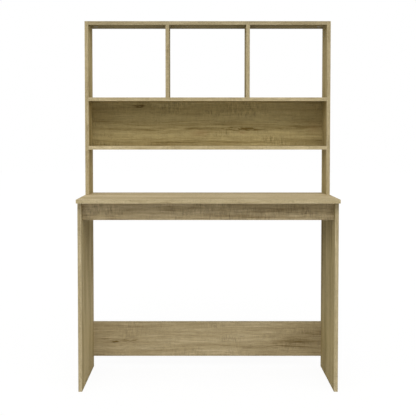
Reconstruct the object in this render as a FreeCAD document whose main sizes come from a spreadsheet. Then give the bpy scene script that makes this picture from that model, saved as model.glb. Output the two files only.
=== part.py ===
import FreeCAD, Part
import Sketcher
import os

# Desk with a shelved hutch, in flat-pack boards held by cam locks, dowels and screws.
# Origin on the floor at the middle of the footprint, +Z up, front towards -Y. Millimetres.

doc = FreeCAD.newDocument("DeskWithShelves")
X_AXIS = FreeCAD.Vector(1, 0, 0)
Y_AXIS = FreeCAD.Vector(0, 1, 0)
Z_AXIS = FreeCAD.Vector(0, 0, 1)
SIDES = (("left", -1), ("right", 1))

# Driving dimensions
SIZES = {
    # whole desk
    "overall_width": 1020,
    "overall_depth": 450,
    "desk_height": 760,
    "board_thickness": 15,
    # rails between the two legs
    "front_overhang": 45,
    "apron_height": 70,
    "apron_setback": 25,
    "stretcher_height": 150,
    "stretcher_clearance": 48,
    # hutch standing on the desktop
    "hutch_depth": 150,
    "lower_opening": 188,
    "middle_opening": 187,
    "upper_opening": 300,
    # glued edge bands
    "band_thickness": 0.8,
    "band_round": 0.4,
    # bores
    "bore_floor": 4,
    "bore_spare": 0.5,
    "bore_clearance": 0.1,
    "cut_overrun": 1,
    # wooden dowel
    "dowel_diameter": 8,
    "dowel_length": 30,
    "dowel_chamfer": 1,
    # cam bolt
    "bolt_thread_diameter": 6,
    "bolt_collar_diameter": 7.6,
    "bolt_collar_length": 2,
    "bolt_neck_diameter": 4,
    "bolt_head_diameter": 6,
    "bolt_head_length": 3,
    # cam
    "cam_distance": 24,
    "cam_diameter": 15,
    "cam_wall": 2.8,
    "cam_throw": 0.7,
    "cam_floor": 2.5,
    "cam_clearance": 0.2,
    "head_clearance": 0.4,
    "driver_slot_length": 6.5,
    "driver_slot_width": 1.3,
    "driver_slot_depth": 2.5,
    "arrow_radius": 1.2,
    "arrow_depth": 0.4,
    # connecting screw
    "screw_length": 50,
    "screw_head_diameter": 10,
    "screw_head_height": 4,
    "screw_shank_diameter": 7,
    "screw_thread_diameter": 6.4,
    "screw_tip_length": 5,
    "screw_tip_diameter": 2,
    "screw_socket_radius": 2.3,
    "screw_socket_depth": 3,
    # places of the fasteners
    "leg_cam_inset": 75,
    "leg_dowel_inset": 120,
    "hutch_screw_share": 0.3,
    "leg_rear_share": 0.15,
    "shelf_dowel_share": 0.32,
    "divider_share": 0.3,
    "apron_share": 0.2,
    "stretcher_dowel_share": 0.3,
    "back_panel_share": 0.33,
}

# How far the cam turns from locked to open, and how far its slot runs past both ends
CAM_TURN_DEGREES = 180
SLOT_MARGIN_DEGREES = 30
# An edge this near to a band's longest is one of its long edges
LONG_EDGE_SHARE = 0.99

sheet = doc.addObject("Spreadsheet::Sheet", "Sizes")
for row, (alias, value) in enumerate(SIZES.items(), start=1):
    sheet.set(f"A{row}", alias)
    sheet.set(f"B{row}", str(value))
    sheet.setAlias(f"B{row}", alias)
doc.recompute()

# Planes that the boards share, as expressions of the sheet
THICK = "Sizes.board_thickness"
HALF_BOARD = "Sizes.board_thickness / 2"
OUTER = "(Sizes.overall_width / 2)"
INNER = f"({OUTER} - {THICK})"
SIDE_MIDDLE = f"({OUTER} - {HALF_BOARD})"
BAND = "Sizes.band_thickness"
FRONT = "(-Sizes.overall_depth / 2)"
REAR = "(Sizes.overall_depth / 2)"
LEG_FRONT = f"({FRONT} + Sizes.front_overhang)"
APRON_FRONT = f"({LEG_FRONT} + Sizes.apron_setback)"
APRON_REAR = f"({APRON_FRONT} + {THICK})"
APRON_MIDDLE = f"({APRON_FRONT} + {HALF_BOARD})"
HUTCH_FRONT = f"({REAR} - Sizes.hutch_depth)"
HUTCH_MIDDLE = f"({REAR} - Sizes.hutch_depth / 2)"
REAR_BOARD_FRONT = f"({REAR} - {THICK})"
REAR_BOARD_MIDDLE = f"({REAR} - {HALF_BOARD})"
FLOOR = "0"
DESK_TOP = "Sizes.desk_height"
DESK_UNDER = f"({DESK_TOP} - {THICK})"
APRON_UNDER = f"({DESK_UNDER} - Sizes.apron_height)"
STRETCHER_UNDER = "Sizes.stretcher_clearance"
STRETCHER_TOP = f"({STRETCHER_UNDER} + Sizes.stretcher_height)"
LOWER_SHELF_UNDER = f"({DESK_TOP} + Sizes.lower_opening)"
LOWER_SHELF_TOP = f"({LOWER_SHELF_UNDER} + {THICK})"
UPPER_SHELF_UNDER = f"({LOWER_SHELF_TOP} + Sizes.middle_opening)"
UPPER_SHELF_TOP = f"({UPPER_SHELF_UNDER} + {THICK})"
HUTCH_TOP_UNDER = f"({UPPER_SHELF_TOP} + Sizes.upper_opening)"
HUTCH_TOP = f"({HUTCH_TOP_UNDER} + {THICK})"
HALF_BAY = f"(({INNER} - {THICK}) / 3)"
DIVIDER_MIDDLE = f"({HALF_BAY} + {HALF_BOARD})"

# Depths that a fastener's two halves and its bores share
BLIND_DEPTH = f"({THICK} - Sizes.bore_floor)"
SEAT_DEPTH = f"({BLIND_DEPTH} - Sizes.bore_spare)"
CAM_RADIUS = "(Sizes.cam_diameter / 2)"
CAM_FACE = f"({HALF_BOARD})"
CAM_HEIGHT = f"({THICK} - Sizes.cam_floor - Sizes.bore_spare)"
CAVITY_RADIUS = f"({CAM_RADIUS} - Sizes.cam_wall + Sizes.cam_throw)"
CAVITY_REACH = f"({CAVITY_RADIUS} - Sizes.cam_clearance)"
HEAD_RADIUS = "(Sizes.bolt_head_diameter / 2)"
SHOULDER_REACH = f"(sqrt(pow({CAVITY_REACH}; 2) - pow({HEAD_RADIUS}; 2)) - Sizes.cam_throw)"
SHOULDER = f"(Sizes.cam_distance - {SHOULDER_REACH})"


def bind(target, **expressions):
    """Tie properties of an object to expressions; x, y and z are its place."""
    for name, expression in expressions.items():
        path = f"Placement.Base.{name}" if name in "xyz" else name
        target.setExpression(path, expression)
    return target


def fill(target, low, high):
    """Stretch a box between two corners, each three expressions."""
    length, width, height = [f"({top}) - ({bottom})" for bottom, top in zip(low, high)]
    return bind(target, Length=length, Width=width, Height=height)


def locate(target, place):
    """Put an object at a place given by three expressions."""
    x, y, z = place
    return bind(target, x=x, y=y, z=z)


def rod(name, diameter, start, end):
    """A round bar or bore along Z, from start to end."""
    bar = doc.addObject("Part::Cylinder", name)
    return bind(bar, Radius=f"({diameter}) / 2", Height=f"({end}) - ({start})", z=start)


def joined(name, pieces):
    """Several overlapping shapes as one solid."""
    union = doc.addObject("Part::MultiFuse", name)
    union.Shapes = pieces
    return union


def turned(name, outline):
    """A body turned about Z from its half outline, a list of (radius, height) expressions."""
    body = doc.addObject("PartDesign::Body", name)
    sketch = body.newObject("Sketcher::SketchObject", f"{name}Outline")
    planes = {plane.Role: plane for plane in body.Origin.OriginFeatures}
    sketch.AttachmentSupport = (planes["XZ_Plane"], [""])
    sketch.MapMode = "FlatFace"
    corners = [FreeCAD.Vector(sketch.evalExpression(radius), sketch.evalExpression(height))
               for radius, height in outline]
    count = len(corners)
    for place in range(count):
        sketch.addGeometry(Part.LineSegment(corners[place], corners[(place + 1) % count]), False)
    for place in range(count):
        sketch.addConstraint(Sketcher.Constraint("Coincident", place, 2, (place + 1) % count, 1))
    for place, (radius, height) in enumerate(outline):
        if radius == "0":
            sketch.addConstraint(Sketcher.Constraint("PointOnObject", place, 1, -2))
        else:
            across = sketch.addConstraint(
                Sketcher.Constraint("DistanceX", -1, 1, place, 1, corners[place].x))
            sketch.setExpression(f"Constraints[{across}]", radius)
        along = sketch.addConstraint(
            Sketcher.Constraint("DistanceY", -1, 1, place, 1, corners[place].y))
        sketch.setExpression(f"Constraints[{along}]", height)
    turn = body.newObject("PartDesign::Revolution", f"{name}Turn")
    turn.Profile = sketch
    turn.ReferenceAxis = (sketch, ["V_Axis"])
    turn.Angle = 360
    sketch.Visibility = False
    return body


def placed(name, master, place, rotation):
    """A copy of a fastener or of its bores, at a place given by three expressions."""
    copy = doc.addObject("App::Link", name)
    copy.LinkedObject = master
    copy.LinkTransform = True
    copy.Placement = FreeCAD.Placement(FreeCAD.Vector(), rotation)
    return locate(copy, place)


# Edge bands and boards. Each board's drills are filled in by the fasteners further down.
OUTWARD = {
    "front": -Y_AXIS,
    "rear": Y_AXIS,
    "left": -X_AXIS,
    "right": X_AXIS,
    "under": -Z_AXIS,
    "top": Z_AXIS,
}
cores = {}
strips = {}
drills = {}


def board(label, low, high, banded_faces):
    """A board between two corners, with a glued strip on each banded face and the core inside them."""
    low = list(low)
    high = list(high)
    drills[label] = []
    strips[label] = []
    for face in banded_faces:
        outward = OUTWARD[face]
        strip_low = list(low)
        strip_high = list(high)
        for axis, step in enumerate(outward):
            if step > 0:
                strip_low[axis] = f"({high[axis]} - {BAND})"
                high[axis] = strip_low[axis]
            elif step < 0:
                strip_high[axis] = f"({low[axis]} + {BAND})"
                low[axis] = strip_high[axis]
        body = doc.addObject("PartDesign::Body", f"{label}_{face}_band")
        strip = body.newObject("PartDesign::AdditiveBox", f"{label}_{face}_strip")
        fill(strip, strip_low, strip_high)
        locate(body, strip_low)
        strips[label].append((body, strip, outward))
    core = doc.addObject("Part::Box", f"{label}_core")
    cores[label] = locate(fill(core, low, high), low)


def mirrored(sign, low, high):
    """The two x bounds of a board on the left (-1) or right (1) of the middle."""
    return (low, high) if sign > 0 else (f"-{high}", f"-{low}")


board("desktop", (f"-{OUTER}", FRONT, DESK_UNDER), (OUTER, REAR, DESK_TOP),
      ("front", "rear", "left", "right"))
board("front_apron", (f"-{INNER}", APRON_FRONT, APRON_UNDER), (INNER, APRON_REAR, DESK_UNDER), ("under",))
board("rear_stretcher", (f"-{INNER}", REAR_BOARD_FRONT, STRETCHER_UNDER), (INNER, REAR, STRETCHER_TOP),
      ("under", "top"))
SHELF_UNDERSIDES = {
    "hutch_top": HUTCH_TOP_UNDER,
    "upper_shelf": UPPER_SHELF_UNDER,
    "lower_shelf": LOWER_SHELF_UNDER,
}
for label, under in SHELF_UNDERSIDES.items():
    board(label, (f"-{INNER}", HUTCH_FRONT, under), (INNER, REAR, f"({under} + {THICK})"),
          ("front", "rear"))
board("hutch_back_panel", (f"-{INNER}", REAR_BOARD_FRONT, LOWER_SHELF_TOP),
      (INNER, REAR, UPPER_SHELF_UNDER), ())
for side, sign in SIDES:
    low, high = mirrored(sign, INNER, OUTER)
    board(f"{side}_leg_panel", (low, LEG_FRONT, FLOOR), (high, REAR, DESK_UNDER), ("front", "rear"))
    board(f"{side}_hutch_side", (low, HUTCH_FRONT, DESK_TOP), (high, REAR, HUTCH_TOP),
          ("front", "rear", "top"))
    low, high = mirrored(sign, HALF_BAY, f"({HALF_BAY} + {THICK})")
    board(f"{side}_divider", (low, HUTCH_FRONT, UPPER_SHELF_TOP), (high, REAR, HUTCH_TOP_UNDER),
          ("front", "rear"))

# Wooden dowel, from its seat in a board's face (below zero) into the other board's edge, and its bore
dowel_radius = "Sizes.dowel_diameter / 2"
dowel_end = f"(Sizes.dowel_length - {SEAT_DEPTH})"
dowel_master = turned("Dowel", [
    ("0", f"-{SEAT_DEPTH}"),
    (f"{dowel_radius} - Sizes.dowel_chamfer", f"-{SEAT_DEPTH}"),
    (dowel_radius, f"-{SEAT_DEPTH} + Sizes.dowel_chamfer"),
    (dowel_radius, f"{dowel_end} - Sizes.dowel_chamfer"),
    (f"{dowel_radius} - Sizes.dowel_chamfer", dowel_end),
    ("0", dowel_end),
])
dowel_drill = rod("DowelDrill", "Sizes.dowel_diameter + 2 * Sizes.bore_clearance",
                  f"-{BLIND_DEPTH}", f"{dowel_end} + Sizes.bore_spare")

# Cam bolt: thread in a board's face, collar, neck and head reaching into the cam
bolt_head_end = f"({SHOULDER} + Sizes.bolt_head_length)"
bolt_master = turned("CamBolt", [
    ("0", f"-{SEAT_DEPTH}"),
    ("Sizes.bolt_thread_diameter / 2", f"-{SEAT_DEPTH}"),
    ("Sizes.bolt_thread_diameter / 2", "0"),
    ("Sizes.bolt_collar_diameter / 2", "0"),
    ("Sizes.bolt_collar_diameter / 2", "Sizes.bolt_collar_length"),
    ("Sizes.bolt_neck_diameter / 2", "Sizes.bolt_collar_length"),
    ("Sizes.bolt_neck_diameter / 2", SHOULDER),
    (HEAD_RADIUS, SHOULDER),
    (HEAD_RADIUS, bolt_head_end),
    ("0", bolt_head_end),
])

# Bores of a cam lock: the thread's, the one along the board for the neck, and the cam's across it
thread_bore = rod("BoltThreadBore", "Sizes.bolt_thread_diameter + 2 * Sizes.bore_clearance",
                  f"-{BLIND_DEPTH}", "Sizes.cut_overrun")
neck_bore = rod("BoltNeckBore", "Sizes.bolt_collar_diameter + 2 * Sizes.bore_clearance",
                "0", "Sizes.cam_distance")
cam_bore = doc.addObject("Part::Cylinder", "CamBore")
cam_bore.Placement = FreeCAD.Placement(FreeCAD.Vector(), FreeCAD.Rotation(Z_AXIS, X_AXIS))
bind(cam_bore, Radius=f"{CAM_RADIUS} + Sizes.cam_clearance", x=f"Sizes.cam_floor - {HALF_BOARD}",
     z="Sizes.cam_distance", Height=f"{THICK} - Sizes.cam_floor + Sizes.cut_overrun")
lock_drill = joined("LockDrill", [thread_bore, neck_bore, cam_bore])

# Cam, shown locked: its axis is Z with the open face up, and the bolt's neck comes in from -Y.
# The head sits in an eccentric cavity, the neck in a slot, and the head enters through a hole at +Y.
cam_master = doc.addObject("PartDesign::Body", "Cam")
disc = cam_master.newObject("PartDesign::AdditiveCylinder", "CamDisc")
bind(disc, Radius=CAM_RADIUS, Height=CAM_HEIGHT, z=f"{CAM_FACE} - {CAM_HEIGHT}")
cavity = cam_master.newObject("PartDesign::SubtractiveCylinder", "CamCavity")
cavity_half = f"({HEAD_RADIUS} + Sizes.head_clearance)"
bind(cavity, Radius=CAVITY_RADIUS, Height=f"2 * {cavity_half}", y="Sizes.cam_throw", z=f"-{cavity_half}")
slot = cam_master.newObject("PartDesign::SubtractiveCylinder", "CamSlot")
slot.Placement = FreeCAD.Placement(FreeCAD.Vector(), FreeCAD.Rotation(Z_AXIS, 90 - SLOT_MARGIN_DEGREES))
slot.Angle = CAM_TURN_DEGREES + 2 * SLOT_MARGIN_DEGREES
slot_half = "(Sizes.bolt_neck_diameter / 2 + Sizes.head_clearance)"
bind(slot, Radius=f"{CAM_RADIUS} + Sizes.cut_overrun", Height=f"2 * {slot_half}", z=f"-{slot_half}")
entry = cam_master.newObject("PartDesign::SubtractiveCylinder", "CamEntry")
entry.Placement = FreeCAD.Placement(FreeCAD.Vector(), FreeCAD.Rotation(Z_AXIS, Y_AXIS))
bind(entry, Radius=f"{HEAD_RADIUS} + Sizes.head_clearance / 2", Height=f"{CAM_RADIUS} + Sizes.cut_overrun")
driver_floor = f"{CAM_FACE} - Sizes.driver_slot_depth"
driver_depth = "Sizes.driver_slot_depth + Sizes.cut_overrun"
half_length = "Sizes.driver_slot_length / 2"
half_width = "Sizes.driver_slot_width / 2"
for name, quarter, x, y in (
    ("CamDriverSlot", 0, f"-{half_length}", f"-{half_width}"),
    ("CamDriverCross", 90, half_width, f"-{half_length}"),
):
    cross = cam_master.newObject("PartDesign::SubtractiveBox", name)
    cross.Placement = FreeCAD.Placement(FreeCAD.Vector(), FreeCAD.Rotation(Z_AXIS, quarter))
    bind(cross, Length="Sizes.driver_slot_length", Width="Sizes.driver_slot_width", Height=driver_depth,
         x=x, y=y, z=driver_floor)
arrow = cam_master.newObject("PartDesign::SubtractivePrism", "CamArrow")
arrow.Polygon = 3
arrow.Placement = FreeCAD.Placement(FreeCAD.Vector(), FreeCAD.Rotation(Z_AXIS, 90))
bind(arrow, Circumradius="Sizes.arrow_radius", Height="Sizes.arrow_depth + Sizes.cut_overrun",
     y=f"({half_length} + {CAM_RADIUS}) / 2", z=f"{CAM_FACE} - Sizes.arrow_depth")

# Connecting screw: head sunk flush in the far face of one board, thread in the next board's edge
screw_end = f"(Sizes.screw_length - {THICK})"
head_under = f"(Sizes.screw_head_height - {THICK})"
screw_master = turned("Screw", [
    ("0", f"-{THICK}"),
    ("Sizes.screw_head_diameter / 2", f"-{THICK}"),
    ("Sizes.screw_head_diameter / 2", head_under),
    ("Sizes.screw_shank_diameter / 2", head_under),
    ("Sizes.screw_shank_diameter / 2", "0"),
    ("Sizes.screw_thread_diameter / 2", "0"),
    ("Sizes.screw_thread_diameter / 2", f"{screw_end} - Sizes.screw_tip_length"),
    ("Sizes.screw_tip_diameter / 2", screw_end),
    ("0", screw_end),
])
socket = screw_master.newObject("PartDesign::SubtractivePrism", "ScrewSocket")
socket.Polygon = 6
bind(socket, Circumradius="Sizes.screw_socket_radius", z=f"-{THICK} - Sizes.cut_overrun",
     Height="Sizes.screw_socket_depth + Sizes.cut_overrun")
screw_drill = joined("ScrewDrill", [
    rod("ScrewHeadBore", "Sizes.screw_head_diameter + 2 * Sizes.bore_clearance",
        f"-{THICK} - Sizes.cut_overrun", head_under),
    rod("ScrewShankBore", "Sizes.screw_shank_diameter + 2 * Sizes.bore_clearance", f"-{THICK}", "0"),
    rod("ScrewThreadBore", "Sizes.screw_thread_diameter + 2 * Sizes.bore_clearance",
        f"-{HALF_BOARD}", f"{screw_end} + Sizes.bore_spare"),
])

fasteners = {"wood_dowels": [], "cam_bolts": [], "connecting_screws": []}
cams = {}


def drill(boards, master, place, rotation):
    """Bore the same hole through both boards that a fastener joins."""
    for label in boards:
        name = f"{label}_{master.Name}_{len(drills[label])}"
        drills[label].append(placed(name, master, place, rotation))


def straight(kind, master, drill_master, boards, place, direction):
    """A dowel or screw in its bore, pointing from the first board into the second board's edge."""
    rotation = FreeCAD.Rotation(Z_AXIS, direction)
    name = f"{kind}_{len(fasteners[kind])}"
    fasteners[kind].append(placed(name, master, place, rotation))
    drill(boards, drill_master, place, rotation)


def dowel(boards, place, direction):
    straight("wood_dowels", dowel_master, dowel_drill, boards, place, direction)


def screw(boards, place, direction):
    straight("connecting_screws", screw_master, screw_drill, boards, place, direction)


def cam_lock(label, boards, place, direction, face):
    """A bolt in the first board's face, with its cam open towards face in the second board."""
    across = direction.cross(face)
    rotation = FreeCAD.Rotation(face, across, direction, "ZXY")
    fasteners["cam_bolts"].append(placed(f"{label}_bolt", bolt_master, place, rotation))
    drill(boards, lock_drill, place, rotation)
    cam_place = [f"{start} + {int(step)} * Sizes.cam_distance" for start, step in zip(place, direction)]
    cam_rotation = FreeCAD.Rotation(across, direction, face, "ZXY")
    cams[label] = placed(label, cam_master, cam_place, cam_rotation)


# Joints between each side's boards and the boards that meet them
for side, sign in SIDES:
    leg = f"{side}_leg_panel"
    hutch_side = f"{side}_hutch_side"
    divider = f"{side}_divider"
    inwards = X_AXIS * -sign
    side_face = f"{sign} * {INNER}"
    side_middle = f"{sign} * {SIDE_MIDDLE}"
    divider_middle = f"{sign} * {DIVIDER_MIDDLE}"

    # desktop on the leg
    rear_cam = f"{HUTCH_MIDDLE} + Sizes.leg_rear_share * Sizes.hutch_depth"
    rear_dowel = f"{HUTCH_MIDDLE} - Sizes.leg_rear_share * Sizes.hutch_depth"
    front_cam = f"{LEG_FRONT} + Sizes.leg_cam_inset"
    for end, depth in (("front", front_cam), ("rear", rear_cam)):
        cam_lock(f"cam_{side}_leg_{end}", ("desktop", leg), (side_middle, depth, DESK_UNDER),
                 -Z_AXIS, inwards)
    for depth in (f"{LEG_FRONT} + Sizes.leg_dowel_inset", rear_dowel):
        dowel(("desktop", leg), (side_middle, depth, DESK_UNDER), -Z_AXIS)

    # apron and stretcher between the legs
    apron_centre = f"({APRON_UNDER} + Sizes.apron_height / 2)"
    apron_step = "Sizes.apron_share * Sizes.apron_height"
    cam_lock(f"cam_{side}_apron", (leg, "front_apron"),
             (side_face, APRON_MIDDLE, f"{apron_centre} - {apron_step}"), inwards, Y_AXIS)
    dowel((leg, "front_apron"), (side_face, APRON_MIDDLE, f"{apron_centre} + {apron_step}"), inwards)
    stretcher_centre = f"({STRETCHER_UNDER} + Sizes.stretcher_height / 2)"
    cam_lock(f"cam_{side}_stretcher", (leg, "rear_stretcher"),
             (side_face, REAR_BOARD_MIDDLE, stretcher_centre), inwards, Y_AXIS)
    for step in (-1, 1):
        height = f"{stretcher_centre} + {step} * Sizes.stretcher_dowel_share * Sizes.stretcher_height"
        dowel((leg, "rear_stretcher"), (side_face, REAR_BOARD_MIDDLE, height), inwards)

    # hutch side on the desktop, with the shelves and the back panel between the sides
    dowel(("desktop", hutch_side), (side_middle, HUTCH_MIDDLE, DESK_TOP), Z_AXIS)
    for step in (-1, 1):
        depth = f"{HUTCH_MIDDLE} + {step} * Sizes.hutch_screw_share * Sizes.hutch_depth"
        screw(("desktop", hutch_side), (side_middle, depth, DESK_TOP), Z_AXIS)
    for label, under in SHELF_UNDERSIDES.items():
        height = f"{under} + {HALF_BOARD}"
        cam_lock(f"cam_{side}_{label}", (hutch_side, label), (side_face, HUTCH_MIDDLE, height),
                 inwards, -Z_AXIS)
        for step in (-1, 1):
            depth = f"{HUTCH_MIDDLE} + {step} * Sizes.shelf_dowel_share * Sizes.hutch_depth"
            dowel((hutch_side, label), (side_face, depth, height), inwards)
    panel_middle = f"{LOWER_SHELF_TOP} + Sizes.middle_opening / 2"
    dowel((hutch_side, "hutch_back_panel"), (side_face, REAR_BOARD_MIDDLE, panel_middle), inwards)

    # divider between the upper shelf and the top
    for step in (-1, 1):
        depth = f"{HUTCH_MIDDLE} + {step} * Sizes.divider_share * Sizes.hutch_depth"
        screw(("upper_shelf", divider), (divider_middle, depth, UPPER_SHELF_TOP), Z_AXIS)
        dowel(("hutch_top", divider), (divider_middle, depth, HUTCH_TOP_UNDER), -Z_AXIS)

# Back panel between the two shelves
for step in (-1, 0, 1):
    across = f"{step} * Sizes.back_panel_share * 2 * {INNER}"
    screw(("lower_shelf", "hutch_back_panel"), (across, REAR_BOARD_MIDDLE, LOWER_SHELF_TOP), Z_AXIS)
    dowel(("upper_shelf", "hutch_back_panel"), (across, REAR_BOARD_MIDDLE, UPPER_SHELF_UNDER), -Z_AXIS)

# Round the two long outer edges of each edge band, once the strips have their shapes
doc.recompute()
for bands in strips.values():
    for body, strip, outward in bands:
        edges = strip.Shape.Edges
        long_enough = LONG_EDGE_SHARE * max(edge.Length for edge in edges)
        middle = strip.Shape.CenterOfMass.dot(outward)
        outer_edges = [f"Edge{number}" for number, edge in enumerate(edges, start=1)
                       if edge.Length > long_enough and edge.CenterOfMass.dot(outward) > middle]
        rounding = body.newObject("PartDesign::Fillet", f"{body.Name}_round")
        rounding.Base = (strip, outer_edges)
        bind(rounding, Radius=f"min(Sizes.band_round; {BAND} / 2)")

# The finished pieces: bored boards, their bands, the cams, and the fasteners in groups of a kind
nodes = dict(cams)
for label, core in cores.items():
    bores = doc.addObject("Part::Compound", f"{label}_bores")
    bores.Links = drills[label]
    nodes[label] = doc.addObject("Part::Cut", label)
    nodes[label].Base = core
    nodes[label].Tool = bores
    if strips[label]:
        nodes[f"{label}_edge_bands"] = doc.addObject("Part::Compound", f"{label}_edge_bands")
        nodes[f"{label}_edge_bands"].Links = [body for body, strip, outward in strips[label]]
for kind, copies in fasteners.items():
    nodes[kind] = doc.addObject("Part::Compound", kind)
    nodes[kind].Links = copies
doc.recompute()

for item in doc.Objects:
    if {"Invalid", "Error"} & set(item.State):
        raise RuntimeError(f"{item.Label} failed: {item.State}")
for label, core in cores.items():
    if nodes[label].Shape.Volume >= core.Shape.Volume:
        raise RuntimeError(f"{label} lost nothing to its bores")
for label, node in nodes.items():
    node.Label = label
    if node.Shape.isNull() or not node.Shape.isValid():
        raise RuntimeError(f"{label} has no valid shape")

os.makedirs("parts", exist_ok=True)
for label, node in nodes.items():
    node.Shape.exportStep(f"parts/{label}.step")
print(f"{len(nodes)} pieces written")
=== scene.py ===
import math
from collections import namedtuple

import bpy
from mathutils import Euler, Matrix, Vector

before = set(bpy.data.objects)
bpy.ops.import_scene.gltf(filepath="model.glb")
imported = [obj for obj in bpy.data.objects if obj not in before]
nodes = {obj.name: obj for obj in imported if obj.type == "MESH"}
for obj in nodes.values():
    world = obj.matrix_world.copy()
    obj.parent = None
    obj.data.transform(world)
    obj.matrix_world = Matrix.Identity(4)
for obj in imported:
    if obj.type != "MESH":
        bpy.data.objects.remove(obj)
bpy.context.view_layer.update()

# Desk with a shelved hutch in oak-effect board. Metres, +Z up, the front towards -Y.
AXES = "XYZ"
WHITE = (1.0, 1.0, 1.0, 1.0)

# The curve from a screen's levels to linear ones
SCREEN_OFFSET = 0.055
SCREEN_POWER = 2.4


def paint(red, green, blue):
    """A colour as the eye names it, in levels of 255, made linear for a shader."""
    levels = [value / 255 for value in (red, green, blue)]
    linear = [((level + SCREEN_OFFSET) / (1 + SCREEN_OFFSET)) ** SCREEN_POWER for level in levels]
    return (*linear, 1.0)


# Nodes of a material or a node group

# Where a Mix node has its two numbers, its two colours and the mixed colour
MIX_NUMBERS = (2, 3)
MIX_COLOURS = (6, 7)
MIXED_COLOUR = 2


def put(socket, value):
    """Set an input to a number or colour, or wire it to another node's output."""
    if isinstance(value, bpy.types.NodeSocket):
        socket.id_data.links.new(value, socket)
    else:
        socket.default_value = value


def add(tree, kind, *values, **settings):
    """A new node with its settings, and its first inputs filled in order."""
    node = tree.nodes.new(kind)
    for name, setting in settings.items():
        setattr(node, name, setting)
    for socket, value in zip(node.inputs, values):
        put(socket, value)
    return node


def calc(tree, operation, *values):
    """A Math node's result."""
    return add(tree, "ShaderNodeMath", *values, operation=operation).outputs[0]


def calc_vector(tree, operation, *values):
    """A Vector Math node's result."""
    return add(tree, "ShaderNodeVectorMath", *values, operation=operation).outputs[0]


def between(tree, value, low, high):
    """A soft step from 0 at low to 1 at high."""
    step = add(tree, "ShaderNodeMapRange", value, low, high, interpolation_type="SMOOTHSTEP")
    return step.outputs[0]


def mixed(tree, share, first, second):
    """Two numbers mixed by a share."""
    mix = add(tree, "ShaderNodeMix", share, data_type="FLOAT")
    for place, value in zip(MIX_NUMBERS, (first, second)):
        put(mix.inputs[place], value)
    return mix.outputs[0]


def blended(tree, share, first, second, way="MIX"):
    """Two colours mixed by a share."""
    mix = add(tree, "ShaderNodeMix", share, data_type="RGBA", blend_type=way)
    for place, value in zip(MIX_COLOURS, (first, second)):
        put(mix.inputs[place], value)
    return mix.outputs[MIXED_COLOUR]


def noise(tree, place, stretch, start, detail=2.0, roughness=0.5):
    """Noise with so many features to the metre on each axis of a place, from 0 to 1."""
    drawn = calc_vector(tree, "MULTIPLY_ADD", place, stretch, (0.0, 0.0, start))
    texture = add(tree, "ShaderNodeTexNoise", drawn)
    texture.inputs["Scale"].default_value = 1.0
    texture.inputs["Detail"].default_value = detail
    texture.inputs["Roughness"].default_value = roughness
    return texture.outputs[0]


def new_group(name, inputs, outputs):
    """An empty node group with named sockets, and its input and output nodes."""
    group = bpy.data.node_groups.new(name, "ShaderNodeTree")
    for label, kind in inputs.items():
        group.interface.new_socket(label, in_out="INPUT", socket_type=f"NodeSocket{kind}")
    for label, kind in outputs.items():
        group.interface.new_socket(label, in_out="OUTPUT", socket_type=f"NodeSocket{kind}")
    given = group.nodes.new("NodeGroupInput").outputs
    result = group.nodes.new("NodeGroupOutput").inputs
    return group, given, result


def use_group(tree, group, **values):
    """A group placed in a material with its own values."""
    user = tree.nodes.new("ShaderNodeGroup")
    user.node_tree = group
    for label, value in values.items():
        put(user.inputs[label], value)
    return user.outputs


# Oak print

# A layer of the print: its features to the metre along and across the grain, its own start in the noise,
# and how much finer detail the noise carries
Layer = namedtuple("Layer", "along across start detail roughness", defaults=(2.0, 0.5))
LAYERS = {
    "sway": Layer(2.6, 7.0, 0.0),
    "ripple": Layer(14.0, 30.0, 41.0),
    "bands": Layer(1.3, 17.0, 3.0),
    "streaks": Layer(2.4, 55.0, 7.0),
    "lines": Layer(5.0, 150.0, 9.0),
    "strokes": Layer(18.0, 210.0, 59.0),
    "fibres": Layer(8.0, 420.0, 11.0, 3.0, 0.6),
    "hairs": Layer(40.0, 2400.0, 47.0, 2.0, 0.6),
    "pores": Layer(36.0, 700.0, 13.0, 3.0, 0.55),
    "fine_pores": Layer(110.0, 2200.0, 53.0, 1.0),
    "saw_patches": Layer(5.0, 14.0, 19.0),
    "saw_marks": Layer(140.0, 36.0, 17.0, 1.0),
    "saw_ticks": Layer(320.0, 48.0, 43.0, 1.0),
    "dashes": Layer(34.0, 230.0, 31.0),
}

# The noise's middle level
NOISE_MIDDLE = 0.5

# Layers that show only where their noise is high: the levels at which they begin and are full
CUTS = {
    "pores": (0.56, 0.66),
    "fine_pores": (0.6, 0.7),
    "saw_patches": (0.45, 0.65),
    "saw_ticks": (0.54, 0.68),
    "dashes": (0.4, 0.6),
}

# How far the grain sways and ripples to the sides, in metres
SWAY_REACH = 0.024
RIPPLE_REACH = 0.01

# The share of the saw marks and ticks that shows only in patches
MARKS_IN_PATCHES = 0.75
TICKS_IN_PATCHES = 0.8

# How strong a fleck is between its dashes, and how much they add
FLECK_GROUND = 0.15
FLECK_DASHES = 1.1

# The print's plain tone, the shares of its fine layers, and the tones between which the colours change
PLAIN_TONE = 0.4
FINE_LAYERS = {"streaks": 0.7, "lines": 1.1, "strokes": 0.7}
LIGHT_TO_MIDDLE = (0.0, 0.5)
MIDDLE_TO_DARK = (0.4, 1.2)

# How much the finest layers lighten or darken a colour, starting from a plain level
PLAIN_LEVEL = 1.04
LIGHTENING = {"fibres": 0.5, "saw_marks": 0.6, "hairs": 0.45, "pores": -0.24, "fine_pores": -0.3,
              "saw_ticks": -0.26}

# How far they stand out of the surface or sink into it, in shares of the print's depth
RELIEF = {"fibres": 0.6, "saw_marks": 0.5, "saw_ticks": -0.5, "fine_pores": -0.3, "pores": -1.0}

# The roughness of the print at tone 0, and how much a tone of 1 adds
PRINT_ROUGHNESS = 0.68
TONE_ROUGHNESS = 0.14


def layer(tree, place, name):
    """A layer of the oak print, from 0 to 1."""
    wanted = LAYERS[name]
    stretch = (wanted.along, wanted.across, 1.0)
    return noise(tree, place, stretch, wanted.start, wanted.detail, wanted.roughness)


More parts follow.
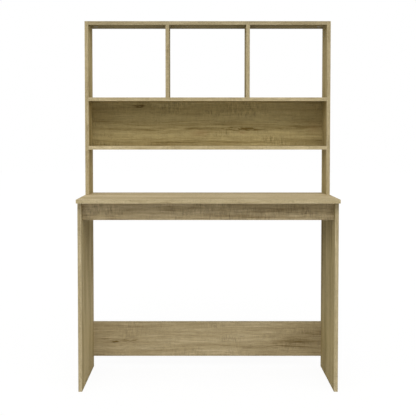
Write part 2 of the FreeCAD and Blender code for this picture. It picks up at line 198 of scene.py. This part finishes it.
def swing(tree, place, name):
    """A layer of the oak print around 0."""
    return calc(tree, "SUBTRACT", layer(tree, place, name), NOISE_MIDDLE)


def cut(tree, place, name):
    """A layer of the oak print that shows only where its noise is high."""
    return between(tree, layer(tree, place, name), *CUTS[name])


def add_up(tree, layers, shares, total):
    """Layers added to a total, each with its share."""
    for name, share in shares.items():
        total = calc(tree, "MULTIPLY_ADD", layers[name], share, total)
    return total


def make_grain_sway():
    """How far the grain sways from side to side along a board, in metres."""
    group, given, result = new_group("grain_sway", {"Place": "Vector"}, {"Sway": "Float"})
    ripple = calc(group, "MULTIPLY", swing(group, given["Place"], "ripple"), RIPPLE_REACH)
    sway = calc(group, "MULTIPLY_ADD", swing(group, given["Place"], "sway"), SWAY_REACH, ripple)
    put(result["Sway"], sway)
    return group


def make_oak_print():
    """Printed oak: bands, fine lines, pores, saw marks across the grain, and flecks where asked for."""
    group, given, result = new_group(
        "oak_print",
        {"Place": "Vector", "Shade": "Float", "Fleck": "Float", "Redness": "Float",
         "Bands": "Float", "Streaks": "Float", "Sawn": "Float",
         "Light": "Color", "Middle": "Color", "Dark": "Color", "Red": "Color"},
        {"Color": "Color", "Roughness": "Float", "Height": "Float"})
    place = given["Place"]
    layers = {name: swing(group, place, name)
              for name in ("bands", "streaks", "lines", "strokes", "fibres", "hairs", "saw_marks")}
    for name in CUTS:
        layers[name] = cut(group, place, name)

    # saw marks cross the grain, deeper in some patches
    for name, patched in (("saw_marks", MARKS_IN_PATCHES), ("saw_ticks", TICKS_IN_PATCHES)):
        deepness = calc(group, "MULTIPLY_ADD", layers["saw_patches"], patched, 1 - patched)
        deepness = calc(group, "MULTIPLY", deepness, given["Sawn"])
        layers[name] = calc(group, "MULTIPLY", layers[name], deepness)

    # a fleck breaks up into dashes along the grain
    dashed = calc(group, "MULTIPLY_ADD", layers["dashes"], FLECK_DASHES, FLECK_GROUND)
    fleck = calc(group, "MULTIPLY", given["Fleck"], dashed)

    # the tone runs from light over middle to dark
    tone = calc(group, "ADD", fleck, PLAIN_TONE)
    # Shade darkens or lightens the tone in spots; on the back panel, apron and legs these are painted
    # light and shade
    tone = calc(group, "ADD", tone, given["Shade"])
    tone = calc(group, "MULTIPLY_ADD", layers["bands"], given["Bands"], tone)
    tone = calc(group, "MULTIPLY_ADD", add_up(group, layers, FINE_LAYERS, 0.0), given["Streaks"], tone)
    colour = blended(group, between(group, tone, *LIGHT_TO_MIDDLE), given["Light"], given["Middle"])
    colour = blended(group, between(group, tone, *MIDDLE_TO_DARK), colour, given["Dark"])
    colour = blended(group, given["Redness"], colour, given["Red"])

    level = add_up(group, layers, LIGHTENING, PLAIN_LEVEL)
    grey = add(group, "ShaderNodeCombineColor", level, level, level).outputs[0]
    put(result["Color"], blended(group, 1.0, colour, grey, "MULTIPLY"))
    put(result["Roughness"], calc(group, "MULTIPLY_ADD", tone, TONE_ROUGHNESS, PRINT_ROUGHNESS))
    put(result["Height"], add_up(group, layers, RELIEF, 0.0))
    return group


# Other shared effects

# Chips and grit of particle board to the metre, and the share of each in its tone
CHIPS = 420.0
GRIT = 900.0
CHIP_SHARE = 0.5
GRIT_SHARE = 0.5

# Levels of the noise between which a metal's patches and grain go from none to full, how much finer the
# grain is than the patches, its own start in the noise, and its detail
CLOUD_LEVELS = (0.3, 0.7)
GRAIN_FINENESS = 9.0
GRAIN_START = 5.0
GRAIN_DETAIL = 3.0
GRAIN_ROUGHNESS = 0.6


def make_chipboard():
    """Raw particle board, as on the edges that no strip covers."""
    group, given, result = new_group(
        "chipboard", {"Place": "Vector", "Pale": "Color", "Brown": "Color"}, {"Color": "Color"})
    chips = add(group, "ShaderNodeTexVoronoi", given["Place"])
    chips.inputs["Scale"].default_value = CHIPS
    chip_tone = add(group, "ShaderNodeSeparateColor", chips.outputs["Color"]).outputs[0]
    grit = noise(group, given["Place"], (GRIT, GRIT, GRIT), 0.0)
    tone = calc(group, "MULTIPLY", chip_tone, CHIP_SHARE)
    tone = calc(group, "MULTIPLY_ADD", grit, GRIT_SHARE, tone)
    put(result["Color"], blended(group, tone, given["Pale"], given["Brown"]))
    return group


def make_mottle():
    """Cloudy unevenness of a metal: a mask of soft patches and one of fine grain."""
    group, given, result = new_group(
        "mottle", {"Place": "Vector", "Size": "Float"}, {"Patches": "Float", "Grain": "Float"})
    scaled = add(group, "ShaderNodeVectorMath", given["Place"], operation="SCALE")
    put(scaled.inputs["Scale"], given["Size"])
    place = scaled.outputs[0]
    patches = noise(group, place, (1.0, 1.0, 1.0), 0.0)
    put(result["Patches"], between(group, patches, *CLOUD_LEVELS))
    fine = (GRAIN_FINENESS, GRAIN_FINENESS, GRAIN_FINENESS)
    put(result["Grain"], noise(group, place, fine, GRAIN_START, GRAIN_DETAIL, GRAIN_ROUGHNESS))
    return group


def make_rim():
    """The outermost line of a face: 1 at its rim, 0 from a width inwards."""
    group, given, result = new_group(
        "rim", {"Place": "Vector", "Middle": "Vector", "Half": "Vector", "Width": "Float"},
        {"Rim": "Float"})
    offset = calc_vector(group, "SUBTRACT", given["Place"], given["Middle"])
    inwards = calc_vector(group, "SUBTRACT", given["Half"], calc_vector(group, "ABSOLUTE", offset))
    parts = add(group, "ShaderNodeSeparateXYZ", inwards).outputs
    nearest = calc(group, "MINIMUM", calc(group, "MINIMUM", parts[0], parts[1]), parts[2])
    put(result["Rim"], between(group, nearest, given["Width"], 0.0))
    return group


grain_sway = make_grain_sway()
oak_print = make_oak_print()
chipboard = make_chipboard()
mottle = make_mottle()
rim = make_rim()


# Materials

def new_material(name):
    """A material with its node tree, its shader and its coordinates."""
    material = bpy.data.materials.new(name)
    material.use_nodes = True
    tree = material.node_tree
    shader = tree.nodes["Principled BSDF"]
    return material, tree, shader, tree.nodes.new("ShaderNodeTexCoord").outputs


def bumped(tree, shader, height, depth):
    """Relief of a surface, its depth in metres."""
    relief = add(tree, "ShaderNodeBump")
    relief.inputs["Strength"].default_value = 1.0
    relief.inputs["Distance"].default_value = depth
    put(relief.inputs["Height"], height)
    put(shader.inputs["Normal"], relief.outputs[0])


OAK_LIGHT = paint(184, 168, 129)
OAK_MIDDLE = paint(164, 148, 109)
OAK_DARK = paint(104, 86, 49)
OAK_RED = paint(150, 112, 74)
BAND_LIGHT = paint(190, 175, 140)
BAND_MIDDLE = paint(174, 159, 123)
BAND_DARK = paint(132, 113, 78)
BAND_RUBBED = paint(206, 194, 164)
GLUE = paint(88, 70, 44)
CHIP_PALE = paint(196, 170, 124)
CHIP_BROWN = paint(132, 102, 66)
BEECH_LIGHT = paint(214, 184, 142)
BEECH_MIDDLE = paint(200, 166, 122)
BEECH_DARK = paint(168, 128, 86)
ZINC = paint(150, 150, 148)
ZINC_DULL = paint(112, 112, 111)
PLATED = paint(206, 205, 198)
PLATED_DULL = paint(170, 170, 166)

# How deep the oak print is pressed, how glossy its film is, and how rough particle board and dowels are
PRESS_DEPTH = 0.0001
OAK_GLOSS = 0.04
RAW_ROUGHNESS = 0.9
BEECH_ROUGHNESS = 0.75

# How far the pattern goes on in a metre through a board, how far from one board to the next, and how far
# from a board to its strips, in shares of that
THROUGH_STEP = 40.0
BOARD_STEP = 13.7
STRIP_STEP = 0.5

# How many times shorter a strip's grain is than that of a face, and the strengths of the print on strips
# and dowels
STRIP_SHORTENING = 2.5
STRIP_PRINT = {"Bands": 1.0, "Streaks": 0.9, "Sawn": 0.8}
BEECH_PRINT = {"Bands": 0.4, "Streaks": 0.4, "Sawn": 0.0}
NO_SPOTS = {"Shade": 0.0, "Fleck": 0.0, "Redness": 0.0}

# Widths and strengths of the glue line around a face and of the scraped rims of a strip,
# and a reach past any board
GLUE_WIDTH = 0.0008
GLUE_SHARE = 0.6
SCRAPED_WIDTH = 0.0012
SCRAPED_SHARE = 0.4
BEYOND = 10.0

# A face looks along an axis if more than this of its normal does
FACING = 0.5

# Grain axis and thin axis of a board, how bright and how blue its faces are, how bright its strips are,
# and how strong its bands, streaks and saw marks. The brightness and the blue differ from board to board
# partly as painted light and shade: boards in shade, such as the hutch top, are darker, boards in more
# light are lighter, and a lower blue paints warm light bounced between the boards onto the boards in
# shade.
Board = namedtuple("Board", "grain thin level blue strip_level bands streaks sawn")
BOARDS = {
    "desktop": Board("X", "Z", 1.25, 1.07, 1.08, 1.4, 1.0, 0.35),
    "front_apron": Board("X", "Y", 1.2, 1.12, 1.0, 0.8, 1.0, 1.0),
    "rear_stretcher": Board("X", "Y", 1.12, 1.1, 1.0, 1.0, 0.9, 0.8),
    # painted shade: the hutch top is made darker because its underside lies in shade
    "hutch_top": Board("X", "Z", 0.75, 0.88, 0.88, 1.0, 0.9, 0.6),
    "upper_shelf": Board("X", "Z", 1.0, 0.95, 1.07, 1.0, 0.9, 0.6),
    "lower_shelf": Board("X", "Z", 1.0, 0.95, 1.13, 1.0, 0.9, 0.6),
    "hutch_back_panel": Board("X", "Y", 1.18, 0.9, 1.0, 0.75, 0.68, 1.2),
    "left_leg_panel": Board("Z", "X", 1.2, 0.97, 0.96, 1.7, 1.1, 0.4),
    "right_leg_panel": Board("Z", "X", 1.09, 0.92, 1.0, 1.7, 1.1, 0.4),
    "left_hutch_side": Board("Z", "X", 1.36, 0.9, 1.05, 1.2, 0.9, 0.5),
    "right_hutch_side": Board("Z", "X", 1.2, 0.9, 0.98, 1.2, 0.9, 0.5),
    "left_divider": Board("Z", "X", 1.0, 0.9, 0.93, 1.2, 0.9, 0.5),
    "right_divider": Board("Z", "X", 1.05, 0.95, 0.98, 1.2, 0.9, 0.5),
}

# Spots in a board's plane: place along and across the grain, half length, half width, strength
SHADES = {
    "rear_stretcher": [(0.38, 0.11, 0.26, 0.1, 0.21), (0.38, 0.11, 0.17, 0.03, 0.17),
                       (0.05, 0.07, 0.16, 0.02, -0.18)],
    # painted light and shade: the top of the back panel is lightened and two bands lower down are
    # darkened
    "hutch_back_panel": [(0.0, 1.16, 1.2, 0.05, -0.45), (0.0, 1.05, 1.2, 0.055, 0.4),
                         (0.0, 0.98, 1.2, 0.04, 0.28)],
    # painted light and shade: the top of the apron is lightened and its bottom darkened
    "front_apron": [(0.0, 0.745, 1.2, 0.025, -0.2), (0.0, 0.672, 1.2, 0.04, 0.2)],
    # painted shadow and light on both legs: darker at the top under the desktop and towards the rear,
    # lighter lower down and towards the front
    "left_leg_panel": [(0.66, 0.02, 0.16, 0.5, 0.26), (0.2, 0.02, 0.3, 0.5, -0.25),
                       (0.35, 0.22, 1.2, 0.14, 0.2), (0.35, -0.12, 1.2, 0.07, -0.25)],
    "right_leg_panel": [(0.66, 0.02, 0.16, 0.5, 0.26), (0.2, 0.02, 0.3, 0.5, -0.2),
                        (0.35, 0.22, 1.2, 0.14, 0.2), (0.35, -0.15, 1.2, 0.09, -0.25)],
}
FLECKS = {
    "rear_stretcher": [(-0.43, 0.124, 0.05, 0.008, 0.45), (-0.4, 0.113, 0.05, 0.008, 0.4),
                       (-0.34, 0.119, 0.06, 0.008, 0.4), (-0.34, 0.115, 0.14, 0.018, 0.3),
                       (0.34, 0.106, 0.15, 0.024, 0.14)],
    "hutch_back_panel": [(-0.36, 1.132, 0.14, 0.022, 0.25), (-0.285, 1.134, 0.06, 0.022, 0.85),
                         (0.15, 1.033, 0.12, 0.013, 0.55), (0.0, 1.036, 0.5, 0.007, 0.25)],
    "front_apron": [(0.045, 0.716, 0.06, 0.01, 0.4), (-0.31, 0.714, 0.1, 0.012, 0.2)],
    "left_leg_panel": [(0.45, 0.16, 0.18, 0.03, 0.3)],
    "right_leg_panel": [(0.3, 0.05, 0.25, 0.03, 0.25)],
}
RED_FLECKS = {
    "hutch_back_panel": [(-0.03, 1.015, 0.06, 0.02, 0.3), (0.15, 1.02, 0.03, 0.012, 0.3),
                         (0.46, 1.04, 0.05, 0.04, 0.2)],
    "left_leg_panel": [(0.47, 0.17, 0.12, 0.03, 0.3)],
}
SAWN_SPOTS = {
    "hutch_back_panel": [(-0.37, 1.135, 0.16, 0.045, 1.6)],
    "front_apron": [(-0.42, 0.7, 0.13, 0.06, 0.6), (0.2, 0.7, 0.2, 0.06, 0.3)],
}


def spots(tree, place, wanted, total=0.0):
    """Soft oval spots added to a total, each 0 at its rim and its own strength at its middle."""
    for along, across, half_length, half_width, strength in wanted:
        offset = calc_vector(tree, "SUBTRACT", place, (along, across, 0.0))
        scaled = calc_vector(tree, "MULTIPLY", offset, (1 / half_length, 1 / half_width, 0.0))
        reach = add(tree, "ShaderNodeVectorMath", scaled, operation="LENGTH").outputs["Value"]
        total = calc(tree, "MULTIPLY_ADD", between(tree, reach, 1.0, 0.0), strength, total)
    return total


def along_grain(tree, along, across, depth):
    """A place for the oak print, from its three coordinates, with the grain's sway in it."""
    straight = add(tree, "ShaderNodeCombineXYZ", along, across, depth).outputs[0]
    sway = use_group(tree, grain_sway, Place=straight)["Sway"]
    return add(tree, "ShaderNodeCombineXYZ", along, calc(tree, "ADD", across, sway), depth).outputs[0]


def flat_on(tree, normal, axis):
    """1 on the faces that look along an axis, else 0."""
    parts = add(tree, "ShaderNodeSeparateXYZ", normal).outputs
    return calc(tree, "GREATER_THAN", calc(tree, "ABSOLUTE", parts[axis]), FACING)


def brighter(colour, level, blue=1.0):
    """A colour times a level, and its blue times another."""
    return (colour[0] * level, colour[1] * level, colour[2] * level * blue, 1.0)


def rim_of(tree, place, node_name, axes, width):
    """The rim of a node's own box, along the axes given."""
    corners = [Vector(corner) for corner in nodes[node_name].bound_box]
    low = [min(corner[axis] for corner in corners) for axis in range(3)]
    high = [max(corner[axis] for corner in corners) for axis in range(3)]
    middle = [(low[axis] + high[axis]) / 2 for axis in range(3)]
    half = [(high[axis] - low[axis]) / 2 if axis in axes else BEYOND for axis in range(3)]
    return use_group(tree, rim, Place=place, Middle=middle, Half=half, Width=width)["Rim"]


def board_finish(name, order):
    """Oak-effect faces, and raw particle board on the edges and in the bores."""
    board = BOARDS[name]
    grain = AXES.index(board.grain)
    thin = AXES.index(board.thin)
    wide = ({0, 1, 2} - {grain, thin}).pop()
    material, tree, shader, coordinates = new_material(f"oak_{name}")
    parts = add(tree, "ShaderNodeSeparateXYZ", coordinates["Object"]).outputs
    depth = calc(tree, "MULTIPLY_ADD", parts[thin], THROUGH_STEP, order * BOARD_STEP)
    place = along_grain(tree, parts[grain], parts[wide], depth)
    oak = use_group(
        tree, oak_print, Place=place,
        Shade=spots(tree, place, SHADES.get(name, [])),
        Fleck=spots(tree, place, FLECKS.get(name, [])),
        Redness=spots(tree, place, RED_FLECKS.get(name, [])),
        Bands=board.bands, Streaks=board.streaks,
        Sawn=spots(tree, place, SAWN_SPOTS.get(name, []), board.sawn),
        Light=brighter(OAK_LIGHT, board.level, board.blue),
        Middle=brighter(OAK_MIDDLE, board.level, board.blue),
        Dark=brighter(OAK_DARK, board.level, board.blue), Red=OAK_RED)
    raw = use_group(tree, chipboard, Place=coordinates["Object"], Pale=CHIP_PALE, Brown=CHIP_BROWN)
    printed = flat_on(tree, coordinates["Normal"], thin)
    glued = rim_of(tree, coordinates["Object"], name, (grain, wide), GLUE_WIDTH)
    face = blended(tree, calc(tree, "MULTIPLY", glued, GLUE_SHARE), oak["Color"], GLUE)
    put(shader.inputs["Base Color"], blended(tree, printed, raw["Color"], face))
    put(shader.inputs["Roughness"], mixed(tree, printed, RAW_ROUGHNESS, oak["Roughness"]))
    shader.inputs["Specular IOR Level"].default_value = OAK_GLOSS
    bumped(tree, shader, oak["Height"], PRESS_DEPTH)
    return material


def band_finish(name, order):
    """The glued strip on a board's edges, paler than its faces, with its grain along the strip."""
    board = BOARDS[name]
    grain = AXES.index(board.grain)
    thin = AXES.index(board.thin)
    material, tree, shader, coordinates = new_material(f"band_{name}")
    parts = add(tree, "ShaderNodeSeparateXYZ", coordinates["Object"]).outputs
    # a strip across the board's end looks along the grain axis and runs along Y
    ended = flat_on(tree, coordinates["Normal"], grain)
    along = mixed(tree, ended, parts[grain], parts[AXES.index("Y")])
    along = calc(tree, "MULTIPLY", along, STRIP_SHORTENING)
    place = along_grain(tree, along, parts[thin], (order + STRIP_STEP) * BOARD_STEP)
    oak = use_group(
        tree, oak_print, Place=place, **NO_SPOTS, **STRIP_PRINT,
        Light=brighter(BAND_LIGHT, board.strip_level),
        Middle=brighter(BAND_MIDDLE, board.strip_level),
        Dark=brighter(BAND_DARK, board.strip_level), Red=OAK_RED)
    scraped = rim_of(tree, coordinates["Object"], f"{name}_edge_bands", (thin,), SCRAPED_WIDTH)
    scraped = calc(tree, "MULTIPLY", scraped, SCRAPED_SHARE)
    put(shader.inputs["Base Color"], blended(tree, scraped, oak["Color"], BAND_RUBBED))
    put(shader.inputs["Roughness"], oak["Roughness"])
    shader.inputs["Specular IOR Level"].default_value = OAK_GLOSS
    bumped(tree, shader, oak["Height"], PRESS_DEPTH)
    return material


def beech_finish():
    """Plain beech of the dowels."""
    material, tree, shader, coordinates = new_material("beech")
    wood = use_group(tree, oak_print, Place=coordinates["Object"], **NO_SPOTS, **BEECH_PRINT,
                     Light=BEECH_LIGHT, Middle=BEECH_MIDDLE, Dark=BEECH_DARK, Red=BEECH_DARK)
    put(shader.inputs["Base Color"], wood["Color"])
    shader.inputs["Roughness"].default_value = BEECH_ROUGHNESS
    bumped(tree, shader, wood["Height"], PRESS_DEPTH)
    return material


def metal_finish(name, bright, dull, patch, smoothest, roughest, depth):
    """A metal with cloudy patches of a size in metres, and a grain that changes its roughness."""
    material, tree, shader, coordinates = new_material(name)
    clouds = use_group(tree, mottle, Place=coordinates["Object"], Size=1 / patch)
    put(shader.inputs["Base Color"], blended(tree, clouds["Patches"], bright, dull))
    roughness = add(tree, "ShaderNodeMapRange", clouds["Grain"], *CLOUD_LEVELS, smoothest, roughest)
    put(shader.inputs["Roughness"], roughness.outputs[0])
    shader.inputs["Metallic"].default_value = 1.0
    bumped(tree, shader, clouds["Grain"], depth)
    return material


def dress(node_name, material):
    """Give a CAD node its finish."""
    piece = nodes[node_name]
    piece.data.materials.clear()
    piece.data.materials.append(material)


for order, board_name in enumerate(BOARDS):
    dress(board_name, board_finish(board_name, order))
    if f"{board_name}_edge_bands" in nodes:
        dress(f"{board_name}_edge_bands", band_finish(board_name, order))
dress("wood_dowels", beech_finish())
plated = metal_finish("plated_steel", PLATED, PLATED_DULL, patch=0.004, smoothest=0.22, roughest=0.38,
                      depth=0.00002)
for fastener in ("cam_bolts", "connecting_screws"):
    dress(fastener, plated)
zinc = metal_finish("cast_zinc", ZINC, ZINC_DULL, patch=0.003, smoothest=0.38, roughest=0.6,
                    depth=0.00005)
for node_name in nodes:
    if node_name.startswith("cam_") and node_name != "cam_bolts":
        dress(node_name, zinc)


# Studio: a pale floor and surroundings that the camera sees as white, and soft light

# The share of its shading that the seen floor keeps for the shadow, and how bright that shading is
# away from the desk
SHADOW_SHARE = 0.12
OPEN_FLOOR = 0.513
FLOOR_COLOUR = paint(200, 200, 198)
FLOOR_ROUGHNESS = 0.95
FLOOR_SIZE = 40.0
FLOOR_DROP = 0.0002
DOME_STRENGTH = 0.34

# Far soft lights, their angles in degrees. Azimuth 0 shines from the front, 90 from the right.
Softbox = namedtuple("Softbox", "elevation azimuth spread strength")
SOFTBOXES = {
    "front_softbox": Softbox(42.0, 0.0, 32.0, 1.28),
    "left_softbox": Softbox(22.0, -45.0, 34.0, 0.5),
    "right_softbox": Softbox(22.0, 45.0, 34.0, 0.52),
    "top_softbox": Softbox(75.0, 0.0, 40.0, 0.47),
    "rear_softbox": Softbox(36.0, 180.0, 40.0, 0.45),
}


def seen_directly(tree):
    """1 for rays from the camera, a reflection or a glass, else 0."""
    path = tree.nodes.new("ShaderNodeLightPath").outputs
    seen = calc(tree, "ADD", path["Is Camera Ray"], path["Is Glossy Ray"])
    return calc(tree, "MINIMUM", calc(tree, "ADD", seen, path["Is Transmission Ray"]), 1.0)


def make_floor():
    """A wide pale floor that is seen as white, but for the desk's soft shadow."""
    bpy.ops.object.select_all(action="DESELECT")
    bpy.ops.mesh.primitive_plane_add(size=FLOOR_SIZE, location=(0.0, 0.0, -FLOOR_DROP))
    floor = bpy.context.object
    floor.name = "studio_floor"
    material = bpy.data.materials.new("pale_floor")
    material.use_nodes = True
    tree = material.node_tree
    shader = tree.nodes["Principled BSDF"]
    shader.inputs["Base Color"].default_value = FLOOR_COLOUR
    shader.inputs["Roughness"].default_value = FLOOR_ROUGHNESS
    shader.inputs["Specular IOR Level"].default_value = 0.0
    # with its shading, the open floor adds up to a strength of 1, which is white
    white = add(tree, "ShaderNodeEmission")
    white.inputs["Strength"].default_value = (1 - SHADOW_SHARE * OPEN_FLOOR) / (1 - SHADOW_SHARE)
    share = calc(tree, "MULTIPLY", seen_directly(tree), 1 - SHADOW_SHARE)
    mix = add(tree, "ShaderNodeMixShader", share, shader.outputs[0], white.outputs[0])
    put(tree.nodes["Material Output"].inputs["Surface"], mix.outputs[0])
    floor.data.materials.append(material)


def make_world():
    """A dim white dome for the light, seen as plain white."""
    world = bpy.data.worlds.new("studio")
    world.use_nodes = True
    tree = world.node_tree
    dome = tree.nodes["Background"]
    dome.inputs["Color"].default_value = WHITE
    dome.inputs["Strength"].default_value = DOME_STRENGTH
    white = add(tree, "ShaderNodeBackground", WHITE, 1.0)
    mix = add(tree, "ShaderNodeMixShader", seen_directly(tree), dome.outputs[0], white.outputs[0])
    put(tree.nodes["World Output"].inputs["Surface"], mix.outputs[0])
    bpy.context.scene.world = world


def make_softbox(name):
    """A sun lamp as wide as a soft light, turned to shine on the desk."""
    wanted = SOFTBOXES[name]
    lamp = bpy.data.lights.new(name, "SUN")
    lamp.energy = wanted.strength
    lamp.angle = math.radians(wanted.spread)
    sun = bpy.data.objects.new(name, lamp)
    bpy.context.scene.collection.objects.link(sun)
    rise = math.radians(wanted.elevation)
    turn = math.radians(wanted.azimuth)
    level = math.cos(rise)
    towards = Vector((math.sin(turn) * level, -math.cos(turn) * level, math.sin(rise)))
    sun.rotation_euler = towards.to_track_quat("Z", "Y").to_euler()


make_floor()
make_world()
for softbox in SOFTBOXES:
    make_softbox(softbox)


# Camera, at about the height of the hutch's back panel and looking slightly down

CAMERA_PLACE = (-0.0317, -3.7492, 1.0082)
CAMERA_PITCH = 2.468
CAMERA_LENS = 79.44
CAMERA_SENSOR = 36.0
CAMERA_SHIFT = (0.0192, -0.08)


def make_camera():
    """The photograph's view, its pitch in degrees, its lens and sensor in millimetres."""
    camera_data = bpy.data.cameras.new("camera")
    camera_data.lens = CAMERA_LENS
    camera_data.sensor_width = CAMERA_SENSOR
    camera_data.shift_x, camera_data.shift_y = CAMERA_SHIFT
    camera = bpy.data.objects.new("camera", camera_data)
    camera.location = CAMERA_PLACE
    camera.rotation_euler = Euler((math.radians(90 - CAMERA_PITCH), 0.0, 0.0))
    bpy.context.scene.collection.objects.link(camera)
    bpy.context.scene.camera = camera


make_camera()
bpy.context.scene.view_settings.view_transform = "Standard"
